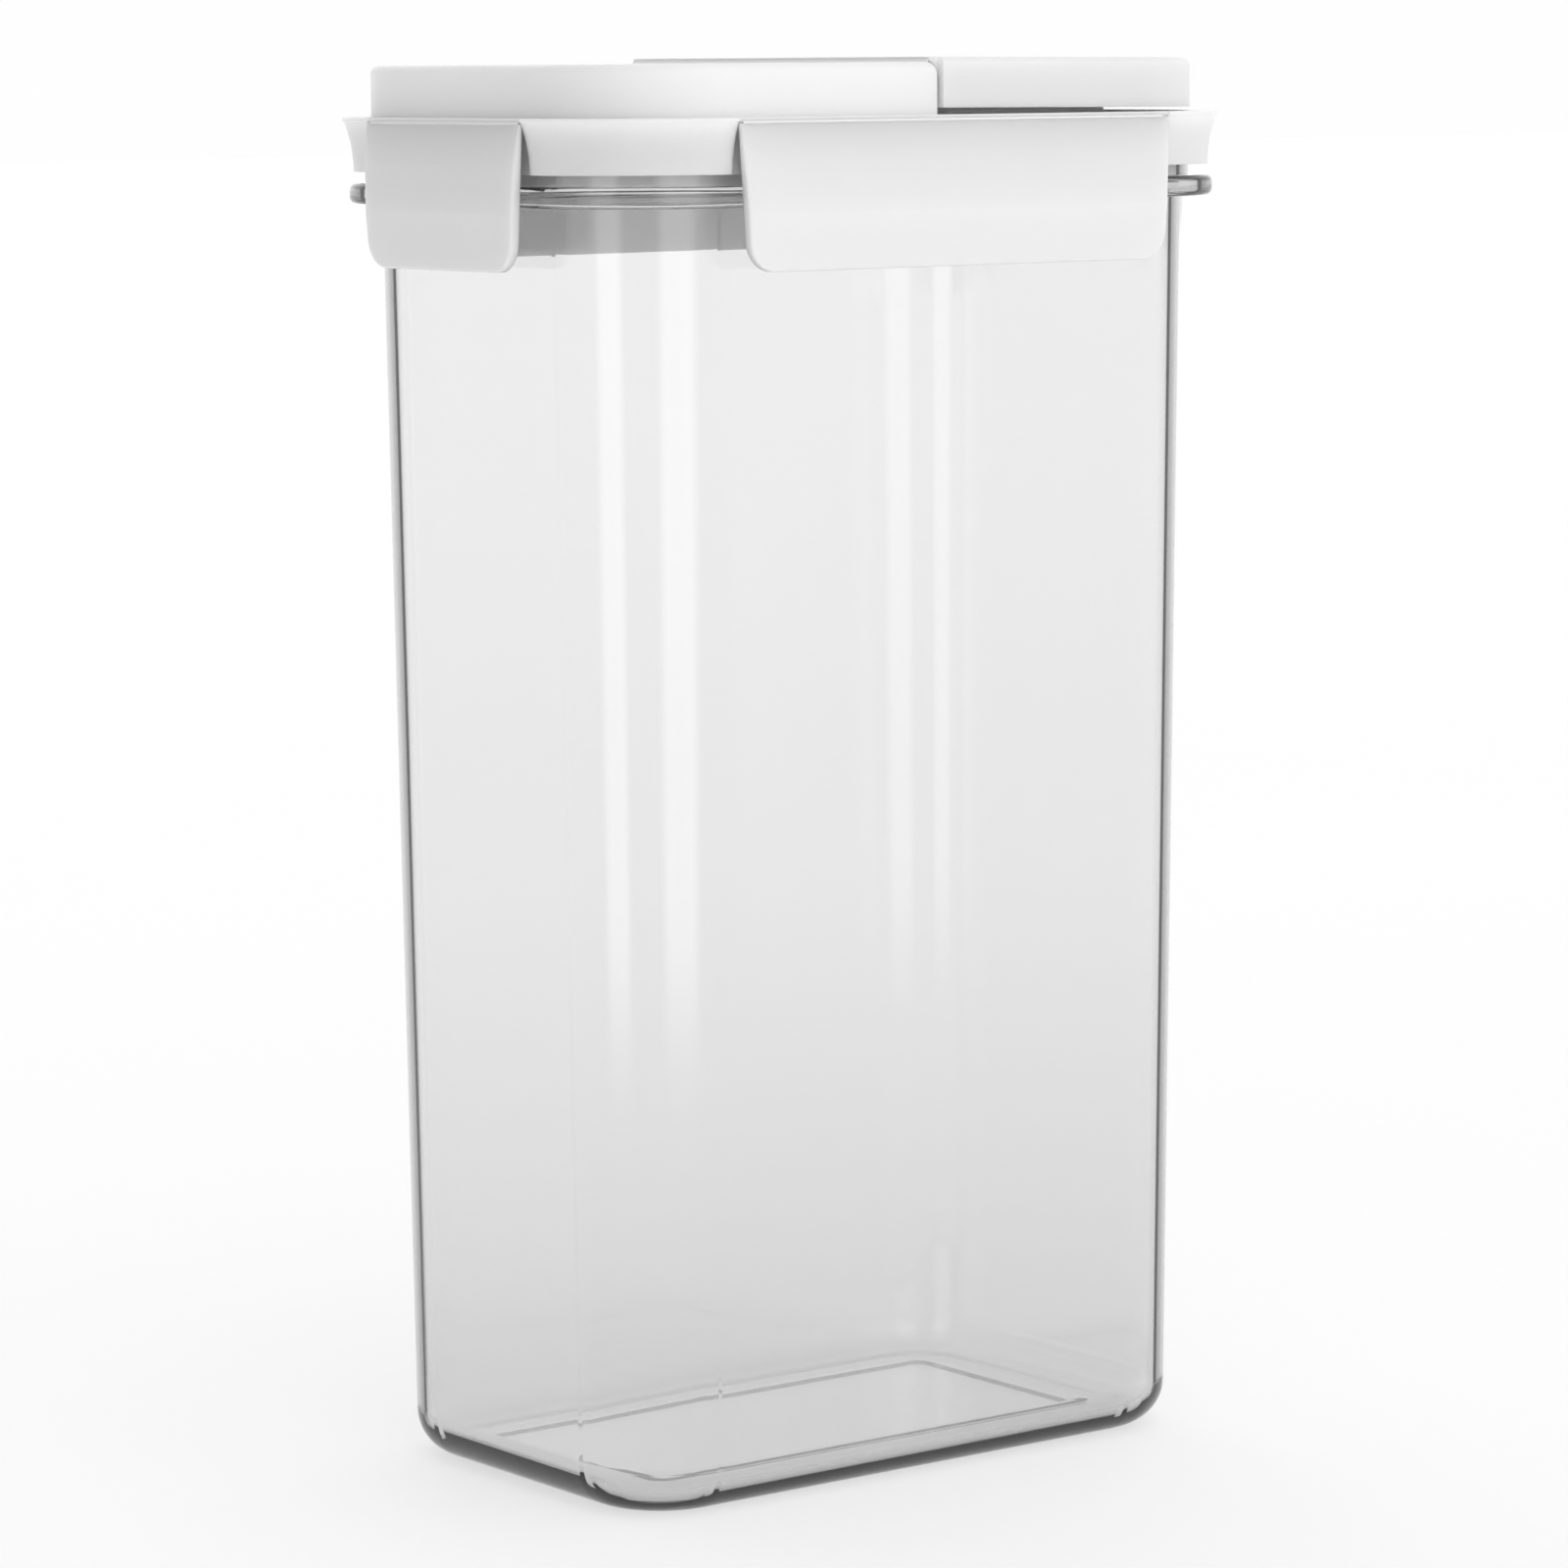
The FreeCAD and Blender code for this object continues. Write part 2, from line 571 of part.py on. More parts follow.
def pour_cap():
    """Flip-up half of the lid's top, with its hinge lip over the seam and ribs for the spout seal."""
    body = new_body("pour_cap")
    top, foot, fall, end = cap_height, cap_foot, size["cap_fall"], cap_tip
    pad(body, "shell", draw(body, "shell_outline", "XY_Plane", foot - fall, right_part(cap_side, cap_end)),
        top - foot + fall)
    side = (half_width + cap_side) * 2
    above = [(cap_end, top), (end, top - fall), (end, top + fall), (cap_end, top + fall)]
    pocket(body, "top_slope", draw(body, "above_top", "XZ_Plane", 0, above), side, symmetric=True)
    below = [(cap_end, foot), (cap_end, foot - fall * 2), (end, foot - fall * 2), (end, foot - fall)]
    pocket(body, "foot_slope", draw(body, "below_foot", "XZ_Plane", 0, below), side, symmetric=True)

    def upper(middle, box):
        return middle.z > top.value - fall.value - NEAR and middle.x > cap_end.value + NEAR

    fillet(body, "cap_edge", edges_where(body, upper), size["cap_round"])
    wall = size["cap_wall"]
    inside = right_part(cap_side - wall, cap_end + wall)
    pocket(body, "hollow", draw(body, "inside_outline", "XY_Plane", foot - fall, inside),
           cap_inside - foot + fall, reverse=True)
    bead, lip = size["cap_bead"], cap_hinge_x
    under = cap_hinge_z - bead
    section = [
        (cap_end, top),
        (lip, top),
        (lip - bead, cap_hinge_z, bead, 1),
        (lip, under, bead, 1),
        (cap_end, under - size["cap_cove"], size["cap_cove_round"], -1),
    ]
    pad(body, "lip", draw(body, "lip_section", "XZ_Plane", 0, section),
        side - size["cap_round"] * 2, symmetric=True)
    seal = size["seal_lap"] + size["seal_slack"]
    rib = size["rib_wall"]
    corner = size["spout_corner"]
    hole = size["spout_wall"] + seal
    rings = (
        ("outer_rib", seal + rib, seal),
        ("inner_rib", -hole, -hole - rib),
    )
    for name, outer, inner in rings:
        loops = [rounded(spout_x + grow, spout_y + grow, corner + grow, spout_centre)
                 for grow in (outer, inner)]
        pad(body, name, draw(body, f"{name}_outline", "XY_Plane", cap_inside, *loops),
            size["rib_height"], reverse=True)
    half, reach, thumb = size["thumb_width"] / 2, end + size["thumb_reach"], size["thumb_corner"]
    tab = [
        (end - wall, -half),
        (reach - thumb, -half),
        (reach, thumb - half, thumb, 1),
        (reach, half - thumb),
        (reach - thumb, half, thumb, 1),
        (end - wall, half),
    ]
    pad(body, "thumb_lip", draw(body, "thumb_outline", "XY_Plane", foot, tab), size["thumb_thickness"])
    return body


def spout_seal():
    """Silicone ring between the cap's ribs, resting on the spout collar."""
    body = new_body("spout_seal")
    lap, wall, corner = size["seal_lap"], size["spout_wall"], size["spout_corner"]
    loops = [rounded(spout_x + grow, spout_y + grow, corner + grow, spout_centre)
             for grow in (lap, -wall - lap)]
    pad(body, "ring", draw(body, "ring_outline", "XY_Plane", spout_top, *loops), size["seal_height"])
    return body


pieces = [
    container_body(),
    lid_body(),
    lid_gasket(),
    flap("flap_front", wide_flap, 0, (as_size(0), -half_width)),
    flap("flap_right", narrow_flap, 90, (half_length, as_size(0))),
    flap("flap_back", wide_flap, 180, (as_size(0), half_width)),
    flap("flap_left", narrow_flap, 270, (-half_length, as_size(0))),
    pour_cap(),
    spout_seal(),
]
doc.recompute()

for item in doc.Objects:
    if "Invalid" in item.State or "Error" in item.State:
        raise RuntimeError(f"{item.Label} failed: {item.State}")
for piece in pieces:
    if piece.Shape.isNull() or not piece.Shape.isValid() or len(piece.Shape.Solids) != 1:
        raise RuntimeError(f"{piece.Label} is not one valid solid")

os.makedirs("parts", exist_ok=True)
for piece in pieces:
    piece.Shape.exportStep(f"parts/{piece.Label}.step")
    box = piece.Shape.optimalBoundingBox()
    print(f"{piece.Label}: {piece.Shape.Volume / 1000:.1f} cm3, "
          f"x {box.XMin:.2f} to {box.XMax:.2f}, y {box.YMin:.2f} to {box.YMax:.2f}, "
          f"z {box.ZMin:.2f} to {box.ZMax:.2f}")
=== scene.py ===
# %% [markdown]
# # A clear pasta container with a white locking lid
# The object is a tall moulded box of clear plastic. Its lid has four hinged flaps that catch
# under a flange, and half of the lid's raised top flips up for pouring.
# All rigid pieces come from the CAD frame. This lesson dresses them: it sets the photograph's
# camera, builds a bright studio, makes the plastics, and adds the thin hinge webs.

# %% Load the frame
import json
import math

import bmesh
import bpy
from mathutils import Matrix, Vector


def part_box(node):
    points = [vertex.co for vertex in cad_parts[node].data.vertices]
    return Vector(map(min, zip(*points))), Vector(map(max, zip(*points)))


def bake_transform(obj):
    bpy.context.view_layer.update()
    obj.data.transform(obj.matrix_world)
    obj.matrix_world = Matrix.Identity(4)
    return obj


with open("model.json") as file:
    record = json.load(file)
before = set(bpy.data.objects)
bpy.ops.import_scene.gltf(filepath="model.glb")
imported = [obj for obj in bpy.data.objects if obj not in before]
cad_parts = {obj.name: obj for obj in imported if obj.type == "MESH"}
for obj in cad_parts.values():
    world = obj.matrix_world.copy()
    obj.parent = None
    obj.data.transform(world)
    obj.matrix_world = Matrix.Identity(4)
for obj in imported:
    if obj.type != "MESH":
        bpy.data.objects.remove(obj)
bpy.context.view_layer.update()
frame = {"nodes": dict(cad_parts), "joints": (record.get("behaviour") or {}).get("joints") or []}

nodes = frame["nodes"]
MM = 0.001
print("nodes:", ", ".join(sorted(nodes)))

# %% [markdown]
# ## The camera
# A product photograph is taken with a long lens from a little above the middle of the object,
# so upright edges stay nearly parallel. The angles below were fitted to the edges of the lid
# and of the base. A camera could also be aimed with a Track To constraint, but a matrix made of
# three turns can hold the small roll of the real camera as well.

# %% Camera
LENS = 133.6
SENSOR_WIDTH = 36.0
CAMERA_PLACE = Vector((-0.7092, -0.9329, 0.2807))
TURN = math.radians(-37.19)
DIP = math.radians(7.10)
ROLL = math.radians(-0.43)

camera_data = bpy.data.cameras.new("photo_camera")
camera_data.lens = LENS
camera_data.sensor_width = SENSOR_WIDTH
camera = bpy.data.objects.new("photo_camera", camera_data)
bpy.context.scene.collection.objects.link(camera)
upright = Matrix.Rotation(math.pi / 2 - DIP, 4, "X")
camera.matrix_world = (Matrix.Translation(CAMERA_PLACE) @ Matrix.Rotation(TURN, 4, "Z")
                       @ upright @ Matrix.Rotation(ROLL, 4, "Z"))
bpy.context.scene.camera = camera
bpy.context.scene.view_settings.view_transform = "Standard"
print("camera at", tuple(round(value, 3) for value in CAMERA_PLACE), "m")

# %% [markdown]
# ## Small helpers for shader nodes
# Every finish below is a node tree. In the shader editor its nodes are added and linked by hand;
# in code, a few helpers do both in one line. These four add and feed nodes: where a helper takes
# an input, it takes a plain value or the output of another node.


# %% Node helpers
def add_node(tree, kind, values=None, **settings):
    """Add a shader node, set its own settings, and then the values of its input sockets."""
    node = tree.nodes.new(kind)
    for name, value in settings.items():
        setattr(node, name, value)
    for socket, value in (values or {}).items():
        node.inputs[socket].default_value = value
    return node


def join(tree, given, target):
    """Link an output to the target input, or set the input to a plain value."""
    if isinstance(given, bpy.types.NodeSocket):
        tree.links.new(given, target)
    else:
        target.default_value = given


def calc(tree, operation, *inputs):
    """A math node over the inputs: returns its value."""
    node = add_node(tree, "ShaderNodeMath", operation=operation)
    for given, socket in zip(inputs, node.inputs):
        join(tree, given, socket)
    return node.outputs["Value"]


def vector_calc(tree, operation, *inputs, result="Vector"):
    """A vector math node over the inputs: returns its vector, or its value."""
    node = add_node(tree, "ShaderNodeVectorMath", operation=operation)
    for given, socket in zip(inputs, node.inputs):
        join(tree, given, socket)
    return node.outputs[result]


print("helpers that add and feed nodes")

# %% [markdown]
# Three more come back in nearly every tree: a neutral colour, the three axes of a vector, and a
# value that is faded from one range into another. A colour ramp could do the last as well, but
# only between 0 and 1.


# %% Value helpers
def grey(tone):
    """A neutral colour."""
    return (tone, tone, tone, 1.0)


def split(tree, vector):
    """The X, Y and Z of a vector."""
    axes = add_node(tree, "ShaderNodeSeparateXYZ")
    join(tree, vector, axes.inputs["Vector"])
    return axes.outputs["X"], axes.outputs["Y"], axes.outputs["Z"]


def fade(tree, source, reach, results=(0.0, 1.0), kind="LINEAR"):
    """Map source from the range reach into the range results, and no further."""
    node = add_node(tree, "ShaderNodeMapRange", interpolation_type=kind,
                    values={"From Min": reach[0], "From Max": reach[1],
                            "To Min": results[0], "To Max": results[1]})
    join(tree, source, node.inputs["Value"])
    return node.outputs["Result"]


print("helpers for colours, axes and ranges")

# %% [markdown]
# ## Studio light
# White plastic shows the light that falls on it and clear plastic shows what it bends and
# mirrors, so the surroundings do all the work here. The photograph is bright from the front and
# dim from the left: the narrow side of the lid is greyer than the wide side. Lamps could do this,
# but a world with a soft shade on one side lights the whole object without any hard shadow. The
# world is also a little dimmer on the far right and overhead, which keeps the white lid from
# burning out. The camera itself sees a plain pale backdrop.

# %% World
SKY_BRIGHT = 1.44
SKY_SHADED = 0.20
SKY_FAR_SIDE = 0.6
SKY_OVERHEAD = 0.6
SHADE_AXIS = Vector((-0.97, 0.25, 0.0)).normalized()
SHADE_REACH = (0.1, 0.95)
FAR_SIDE_REACH = (-1.0, -0.3)
OVERHEAD_REACH = (0.3, 1.0)
BACKDROP = 0.992

world = bpy.data.worlds.new("studio")
bpy.context.scene.world = world
world.use_nodes = True
tree = world.node_tree
tree.nodes.clear()
direction = add_node(tree, "ShaderNodeTexCoord").outputs["Generated"]
sideways = vector_calc(tree, "DOT_PRODUCT", direction, SHADE_AXIS, result="Value")
shade = fade(tree, sideways, SHADE_REACH, (SKY_BRIGHT, SKY_SHADED), kind="SMOOTHSTEP")
far_side = fade(tree, sideways, FAR_SIDE_REACH, (SKY_FAR_SIDE, 1.0))
_, _, upwards = split(tree, direction)
overhead = fade(tree, upwards, OVERHEAD_REACH, (1.0, SKY_OVERHEAD))
dimmed = calc(tree, "MULTIPLY", overhead, far_side)
studio = add_node(tree, "ShaderNodeBackground", {"Color": grey(1.0)})
join(tree, calc(tree, "MULTIPLY", shade, dimmed), studio.inputs["Strength"])
backdrop = add_node(tree, "ShaderNodeBackground", {"Color": grey(BACKDROP)})
seen = add_node(tree, "ShaderNodeLightPath").outputs["Is Camera Ray"]
either = add_node(tree, "ShaderNodeMixShader")
for output, target in zip((seen, studio.outputs[0], backdrop.outputs[0]), either.inputs):
    join(tree, output, target)
join(tree, either.outputs[0], add_node(tree, "ShaderNodeOutputWorld").inputs["Surface"])
print("studio, shaded on one side")

# %% [markdown]
# ## The floor
# A plain pale floor, wide enough that its edge is never seen. A plane from the Add menu would do;
# here a bmesh grid makes the same thing in code. It lies a hair below the base, because two
# surfaces in exactly one plane would flicker through the clear plastic.


# %% Floor
def object_from(bm, name):
    """Turn a bmesh into an object at the origin."""
    mesh = bpy.data.meshes.new(name)
    bm.to_mesh(mesh)
    bm.free()
    piece = bpy.data.objects.new(name, mesh)
    bpy.context.scene.collection.objects.link(piece)
    return piece


FLOOR_SIZE = 14.0
FLOOR_DROP = 0.2 * MM

bm = bmesh.new()
bmesh.ops.create_grid(bm, x_segments=1, y_segments=1, size=FLOOR_SIZE,
                      matrix=Matrix.Translation((0.0, 0.0, -FLOOR_DROP)))
floor = object_from(bm, "floor")
print("floor", FLOOR_SIZE * 2, "m wide")

# %% [markdown]
# The floor's finish is matt, with very faint clouds so that it isn't one dead flat colour. Part
# of its brightness is a faint glow, as on the lit table of a product studio: it keeps the shadow
# under a clear object light. A brighter plain white would do that too, but would also throw more
# light up at the object.


# %% Floor finish
def new_finish(name):
    """A material with a Principled shader: returns the material, its tree and the shader."""
    finish = bpy.data.materials.new(name)
    finish.use_nodes = True
    tree = finish.node_tree
    return finish, tree, tree.nodes["Principled BSDF"]


def object_place(tree):
    """The object's own coordinates."""
    return add_node(tree, "ShaderNodeTexCoord").outputs["Object"]


def add_noise(tree, place, scale, detail):
    """Noise over the place: returns its value."""
    noise = add_node(tree, "ShaderNodeTexNoise", {"Scale": scale, "Detail": detail})
    join(tree, place, noise.inputs["Vector"])
    return noise.outputs["Fac"]


def add_ramp(tree, source, stops):
    """A colour ramp over source, with (position, colour) stops: returns its colour."""
    ramp = add_node(tree, "ShaderNodeValToRGB")
    elements = ramp.color_ramp.elements
    while len(elements) < len(stops):
        elements.new(1.0)
    for element, (position, colour) in zip(elements, stops):
        element.position = position
        element.color = colour
    join(tree, source, ramp.inputs["Fac"])
    return ramp.outputs["Color"]


FLOOR_TONES = (0.42, 0.44)
FLOOR_GLOW = 0.60

floor_finish, tree, shader = new_finish("pale_floor")
clouds = add_noise(tree, object_place(tree), scale=1.5, detail=3.0)
pale = add_ramp(tree, clouds, [(0.0, grey(FLOOR_TONES[0])), (1.0, grey(FLOOR_TONES[1]))])
join(tree, pale, shader.inputs["Base Color"])
shader.inputs["Emission Color"].default_value = grey(1.0)
shader.inputs["Emission Strength"].default_value = FLOOR_GLOW
shader.inputs["Roughness"].default_value = 0.85
shader.inputs["Specular IOR Level"].default_value = 0.1
floor.data.materials.append(floor_finish)
print("matt finish with a glow of", FLOOR_GLOW)

# %% [markdown]
# ## Soft panels
# Two upright panels stand in front of the near corner. They light nothing: they are only mirrored,
# as pale bands down the near and the far rounded corner of the clear wall. An area light would
# show a hard edge in its mirror image, so each panel is a plane whose glow fades, towards its
# sides and its foot, to the tone of the floor. A Light Path node makes the panel transparent
# for every ray that has not been mirrored: it counts whole bounces, so a half lies between none
# and one.


# %% Panel finish
PANEL_EDGE = 0.96
SIDE_FADE = (0.22, 0.5)
FOOT_FADE = (-0.5, -0.40)
HALF_BOUNCE = 0.5


def panel_finish(name, brightness):
    """A glow that fades out over a panel of one by one, and shows only in mirrored rays."""
    finish, tree, shader = new_finish(name)
    across, up, _ = split(tree, object_place(tree))
    off_middle = calc(tree, "ABSOLUTE", across)
    sides = fade(tree, off_middle, SIDE_FADE, (brightness - 1.0, 0.0), kind="SMOOTHSTEP")
    foot = fade(tree, up, FOOT_FADE, kind="SMOOTHSTEP")
    glow = calc(tree, "MULTIPLY_ADD", sides, foot, PANEL_EDGE)
    shader.inputs["Base Color"].default_value = grey(0.0)
    shader.inputs["Emission Color"].default_value = grey(1.0)
    join(tree, glow, shader.inputs["Emission Strength"])
    bounces = add_node(tree, "ShaderNodeLightPath").outputs["Glossy Depth"]
    join(tree, calc(tree, "GREATER_THAN", bounces, HALF_BOUNCE), shader.inputs["Alpha"])
    return finish


print("panels fade at", SIDE_FADE, "of their width")

# %% [markdown]
# The panels are placed around the near corner, each swung away from the line to the camera, and
# face that corner. A panel is written as its swing, its width in metres and its brightness.

# %% Panels
PANEL_DISTANCE = 0.36
PANEL_HEIGHT = 0.60
HALF_UNIT = 0.5
NEAR_CORNER = Vector((-0.062, -0.036, PANEL_HEIGHT / 2))
PANELS = {"right_panel": (math.radians(29.0), 0.32, 2.2),
          "left_panel": (math.radians(-40.0), 0.22, 2.2)}

to_camera = Vector((math.sin(TURN), -math.cos(TURN), 0.0))
for name, (swing, width, brightness) in PANELS.items():
    bm = bmesh.new()
    bmesh.ops.create_grid(bm, x_segments=1, y_segments=1, size=HALF_UNIT)
    panel = object_from(bm, name)
    outwards = Matrix.Rotation(swing, 3, "Z") @ to_camera
    panel.location = NEAR_CORNER + outwards * PANEL_DISTANCE
    panel.rotation_euler = (-outwards).to_track_quat("Z", "Y").to_euler()
    panel.scale = (width, PANEL_HEIGHT, 1.0)
    panel.visible_camera = False
    panel.visible_diffuse = False
    panel.visible_shadow = False
    panel.data.materials.append(panel_finish(name + "_glow", brightness))
    print(name, round(width, 2), "m wide")

# %% [markdown]
# ## Clear plastic: its tint and painted shade
# The container is moulded in a clear, slightly grey plastic with polished walls. A thin-glass
# trick without refraction would lose the lines along its edges, so this is a real refracting
# shader on a wall with true thickness. A ramp over the height of the wall sets the slight grey
# tint, and darkens it towards the base as painted shade: it stands in for the shaded floor seen
# through the lower wall.

# %% Clear tint
# The grey tint of the plastic, with painted shade that darkens it towards the base.
CLEAR_TINT_AND_SHADE_STOPS = [(0.06, grey(0.87)), (0.42, grey(0.94)), (0.75, grey(0.965))]

clear_finish, tree, shader = new_finish("clear_plastic_finish")
place = object_place(tree)
_, _, height = split(tree, place)
wall_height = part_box("container_body")[1][2]
tint_and_shade = add_ramp(tree, fade(tree, height, (0.0, wall_height)), CLEAR_TINT_AND_SHADE_STOPS)
print("tint over", round(wall_height / MM, 1), "mm of wall")

# %% [markdown]
# ## Clear plastic: painted dark upright edges
# Where the eye meets a rounded corner at a low angle it looks through much more plastic, and
# light is led away inside the wall: that draws a dark line down each side of the container.
# Refraction alone finds only pale surroundings to bend into it, so the line is painted shade: a
# Layer Weight node gives the angle and a ramp darkens the plastic's colour there.
# The line is kept to the places where it belongs. Only the first surface that the eye meets
# draws it, or it would double. Only the four rounded corners do: there both coordinates lie past
# the straight part of the wall. And it grows weak at the foot, which has edges of its own.


# %% Dark edges
COLOUR_A, COLOUR_B, COLOUR_MIXED = 6, 7, 2
CORNER_CENTRE = Vector((52.3, 25.65, 0.0)) * MM
CORNER_BLEND = 3.0 * MM
FOOT_BAND = (4.0 * MM, 10.0 * MM)
FOOT_EDGE_SHADE = 0.15
# Painted shade: the ramp that darkens the plastic's colour at low angles.
EDGE_SHADE_STOPS = [(0.45, grey(1.0)), (0.53, grey(0.8)), (0.56, grey(0.5)), (0.573, grey(0.001)),
              (0.622, grey(0.001)), (0.637, grey(0.12)), (0.7, grey(0.25)), (0.8, grey(0.5)),
              (1.0, grey(0.95))]


def mix_colours(tree, amount, first, second, blend_type="MIX"):
    """Mix the first colour with the second by amount: returns the mixed colour."""
    node = add_node(tree, "ShaderNodeMix", data_type="RGBA", blend_type=blend_type)
    join(tree, amount, node.inputs["Factor"])
    join(tree, first, node.inputs[COLOUR_A])
    join(tree, second, node.inputs[COLOUR_B])
    return node.outputs[COLOUR_MIXED]


level = vector_calc(tree, "MULTIPLY", place, (1.0, 1.0, 0.0))
past = vector_calc(tree, "SUBTRACT", vector_calc(tree, "ABSOLUTE", level), CORNER_CENTRE)
past_x, past_y, _ = split(tree, past)
into_corner = calc(tree, "MINIMUM", past_x, past_y)
rounded = fade(tree, into_corner, (0.0, CORNER_BLEND), kind="SMOOTHSTEP")
above_foot = fade(tree, height, FOOT_BAND, (FOOT_EDGE_SHADE, 1.0))
bounces = add_node(tree, "ShaderNodeLightPath").outputs["Ray Depth"]
first_met = calc(tree, "LESS_THAN", bounces, HALF_BOUNCE)
# Where the painted edge shade is laid on: first surface met, above the foot, on the rounded
# corners.
amount = calc(tree, "MULTIPLY", calc(tree, "MULTIPLY", first_met, above_foot), rounded)
angle = add_node(tree, "ShaderNodeLayerWeight", {"Blend": 0.5}).outputs["Facing"]
tinted_with_edge_shade = mix_colours(tree, amount, tint_and_shade, add_ramp(tree, angle, EDGE_SHADE_STOPS), "MULTIPLY")
print("dark edges at four rounded corners")

# %% [markdown]
# ## Clear plastic: painted shade at the base recess
# The low step around the base recess shows as a fine dark line, painted here as shade along the
# step.
# A second material on the faces of the step would do it too, but the faces belong to the CAD
# frame and stay as they are, so the line is worked out from the coordinates. The recess has its
# rounded corners on nearly the same centres as the wall: past the straight part of a quarter, the
# length of what is left is the corner radius exactly on the outline.

# %% Recess line
RECESS_CORNER = 2.5 * MM
STEP_BAND = 1.2 * MM
STEP_HEIGHT = 1.0 * MM
# Painted shade: the tone of the dark line along the recess step.
STEP_SHADE_TONE = 0.02

beyond = vector_calc(tree, "MAXIMUM", past, (0.0, 0.0, 0.0))
reach = vector_calc(tree, "LENGTH", beyond, result="Value")
near_step = calc(tree, "COMPARE", reach, RECESS_CORNER, STEP_BAND)
at_base = calc(tree, "LESS_THAN", height, STEP_HEIGHT)
# The plastic's colour with the painted shade of the step laid over it.
step_shade_mask = calc(tree, "MULTIPLY", near_step, at_base)
with_painted_step_shade = mix_colours(tree, step_shade_mask, tinted_with_edge_shade, grey(STEP_SHADE_TONE))
join(tree, with_painted_step_shade, shader.inputs["Base Color"])
print("recess line", round(STEP_BAND * 2 / MM, 1), "mm wide")

# %% [markdown]
# ## Clear plastic: polish and body
# Polished moulded walls are never optically flat: a weak, slow bump bends what is seen through
# them, and faint clouds in the roughness stand for handling. A little absorption in the volume
# darkens the long ways through the thick flange and foot, which no surface colour could know.


# %% Clear surface
def add_bump(tree, source, strength, distance):
    """A bump made of source: returns the bent normal."""
    bump = add_node(tree, "ShaderNodeBump", {"Strength": strength, "Distance": distance})
    join(tree, source, bump.inputs["Height"])
    return bump.outputs["Normal"]


HAZE_REACH = (0.35, 0.75)
POLISH = (0.002, 0.012)

shader.inputs["Transmission Weight"].default_value = 1.0
shader.inputs["IOR"].default_value = 1.53
haze = add_noise(tree, place, scale=60.0, detail=4.0)
join(tree, fade(tree, haze, HAZE_REACH, POLISH), shader.inputs["Roughness"])
flow = add_noise(tree, place, scale=22.0, detail=1.0)
waves = add_bump(tree, flow, strength=0.05, distance=0.6 * MM)
join(tree, waves, shader.inputs["Normal"])
smoke = add_node(tree, "ShaderNodeVolumeAbsorption", {"Color": grey(0.3), "Density": 36.0})
join(tree, smoke.outputs["Volume"], tree.nodes["Material Output"].inputs["Volume"])
nodes["container_body"].data.materials[0] = clear_finish
print("clear plastic on container_body")

# %% [markdown]
# ## White plastic
# The lid, its flaps and the cap are moulded in white polypropylene with a satin skin. A flat
# white shader looks like paper: the real skin has a fine spark-eroded grain from the mould, a
# gloss that changes slowly across the surface, and a trace of warm and cool in the white. Thin
# walls of this plastic also let light through, so a part of the shader scatters light below the
# surface: it keeps gaps and the far flap, seen through the container, from turning dark.

# %% White plastic
COOL_WHITE = (0.905, 0.91, 0.912, 1.0)
WARM_WHITE = (0.932, 0.93, 0.926, 1.0)
SATIN_REACH = (0.3, 0.7)
SATIN = (0.36, 0.46)
EVEN_SCATTER = (1.0, 1.0, 1.0)
WHITE_PIECES = ("lid_body", "flap_front", "flap_right", "flap_back", "flap_left", "pour_cap")

white_finish, tree, shader = new_finish("white_plastic_finish")
place = object_place(tree)
mottle = add_noise(tree, place, scale=35.0, detail=3.0)
whites = add_ramp(tree, mottle, [(0.0, COOL_WHITE), (1.0, WARM_WHITE)])
join(tree, whites, shader.inputs["Base Color"])
join(tree, fade(tree, mottle, SATIN_REACH, SATIN), shader.inputs["Roughness"])
shader.inputs["Subsurface Weight"].default_value = 0.8
shader.inputs["Subsurface Radius"].default_value = EVEN_SCATTER
shader.inputs["Subsurface Scale"].default_value = 4.5 * MM
grain = add_noise(tree, place, scale=2600.0, detail=2.0)
skin = add_bump(tree, grain, strength=0.08, distance=0.2 * MM)
join(tree, skin, shader.inputs["Normal"])
for name in WHITE_PIECES:
    nodes[name].data.materials[0] = white_finish
print("white plastic on the lid, flaps and cap")

# %% [markdown]
# ## Silicone
# The two sealing rings are soft translucent silicone: matt, a little milky and slightly grey.
# Real transmission would need many bounces inside a shut lid, where hardly any light arrives. A
# matt shader that scatters some light below its surface looks as milky and renders clean.

# %% Silicone
MILK_TONES = (0.76, 0.82)
DULL = (0.5, 0.65)
SOFT_PIECES = ("lid_gasket", "spout_seal")

soft_finish, tree, shader = new_finish("silicone_finish")
milk = add_noise(tree, object_place(tree), scale=90.0, detail=2.0)
milky = add_ramp(tree, milk, [(0.0, grey(MILK_TONES[0])), (1.0, grey(MILK_TONES[1]))])
join(tree, milky, shader.inputs["Base Color"])
join(tree, fade(tree, milk, (0.0, 1.0), DULL), shader.inputs["Roughness"])
shader.inputs["Subsurface Weight"].default_value = 0.4
shader.inputs["Subsurface Radius"].default_value = EVEN_SCATTER
shader.inputs["Subsurface Scale"].default_value = 2.0 * MM
for name in SOFT_PIECES:
    nodes[name].data.materials[0] = soft_finish
print("silicone on the two rings")

# %% [markdown]
# ## Hinge webs
# Flaps and cap are moulded in one shot with the lid. Each hangs on a living hinge: a web about a
# third of a millimetre thick that bends thousands of times. The rigid pieces stop just short of
# each other at these lines, and the webs close the gaps. A web is a thin closed section, drawn
# across the hinge and extruded along the hinge line. Light scattered below the surface would be
# lost through so thin a sheet and leave a dark line, so the webs wear a copy of the white finish
# without that part.

# %% Web finish and helper
WEB = 0.3 * MM
WEB_SMOOTH = math.radians(40.0)
web_finish = white_finish.copy()
web_finish.name = "white_web_finish"
web_finish.node_tree.nodes["Principled BSDF"].inputs["Subsurface Weight"].default_value = 0.0

